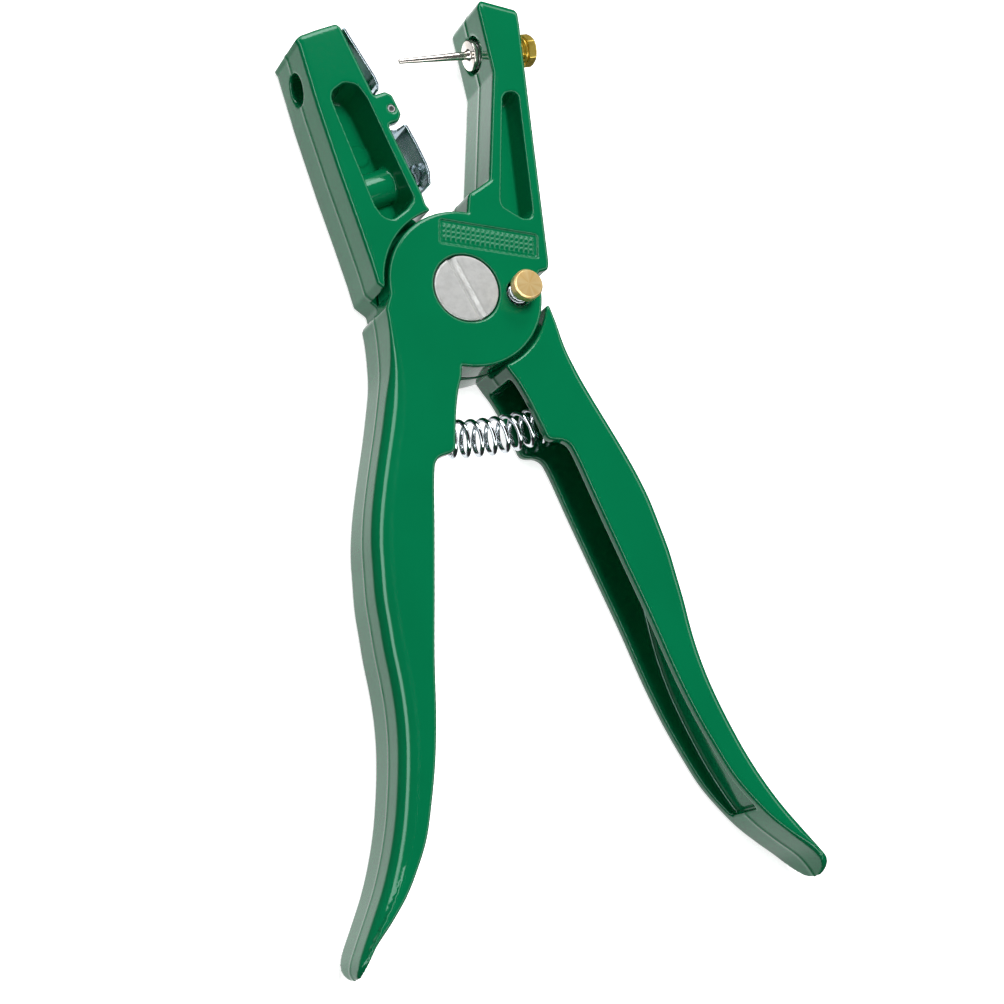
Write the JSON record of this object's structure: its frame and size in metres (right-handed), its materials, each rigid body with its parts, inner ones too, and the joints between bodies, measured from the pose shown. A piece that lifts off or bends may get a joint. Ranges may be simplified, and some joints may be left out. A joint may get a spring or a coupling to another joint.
{
  "type": "ear tag applicator",
  "caption": "Plier-type livestock ear tag applicator: two cast levers on a slotted pivot screw, piercing pin, spring tag clip, return spring and lock button.",
  "frame": {"origin": "on the pivot axis, in the plane of the back faces, which is the pivot nut's flat end face", "axes": "+Z is the front, the side with the slotted screw head and the lock knob; +Y runs up to the jaws and -Y to the handles, along the bisector of the open handles; +X is to the right, towards the pin jaw"},
  "size_m": [0.128, 0.2414, 0.0265],
  "materials": {
    "green_enamel": "glossy deep green enamel on die-cast aluminium",
    "zinc_steel": "light grey zinc-plated steel, satin",
    "spring_steel": "bright zinc-plated spring wire",
    "clip_sheet": "bright bluish zinc-plated sheet steel",
    "pin_nickel": "polished nickel-plated hardened steel",
    "knob_brass": "turned brass, bright",
    "bolt_brass": "yellow-passivated hex bolt, slightly dull"
  },
  "bodies": {
    "pin_side": {"pin_lever": "green_enamel", "pivot_screw": "zinc_steel", "pivot_nut": "zinc_steel", "pivot_washer": "zinc_steel", "return_spring": "spring_steel", "piercing_pin": "pin_nickel", "pin_collar": "zinc_steel", "pin_bolt": "bolt_brass", "lock_spring": "spring_steel"},
    "tag_side": {"tag_lever": "green_enamel", "clip_hinge_pin": "zinc_steel"},
    "clip": {"tag_clip": "clip_sheet", "clip_spring": "spring_steel"},
    "lock": {"lock_knob": "knob_brass", "lock_stem": "zinc_steel", "lock_ring": "zinc_steel"}
  },
  "joints": [
    {"name": "lever_pivot", "type": "hinge", "parent": "pin_side", "child": "tag_side", "pos_m": [0, 0, 0], "axis": [0, 0, -1], "range_deg": [0, 25], "stiffness_Nm_per_rad": 0.8, "springref_deg": -34.38, "deforming": ["return_spring"]},
    {"name": "clip_hinge", "type": "hinge", "parent": "tag_side", "child": "clip", "pos_m": [-0.00936, 0.04998, 0], "axis": [0, 0, -1], "range_deg": [0, 5], "stiffness_Nm_per_rad": 0.25, "springref_deg": -8.59, "deforming": ["clip_spring"]},
    {"name": "lock_button", "type": "slide", "parent": "pin_side", "child": "lock", "axis": [0, 0, -1], "range_m": [0, 0.0025], "stiffness_N_per_m": 600, "springref_m": -0.002, "deforming": ["lock_spring"]}
  ]
}
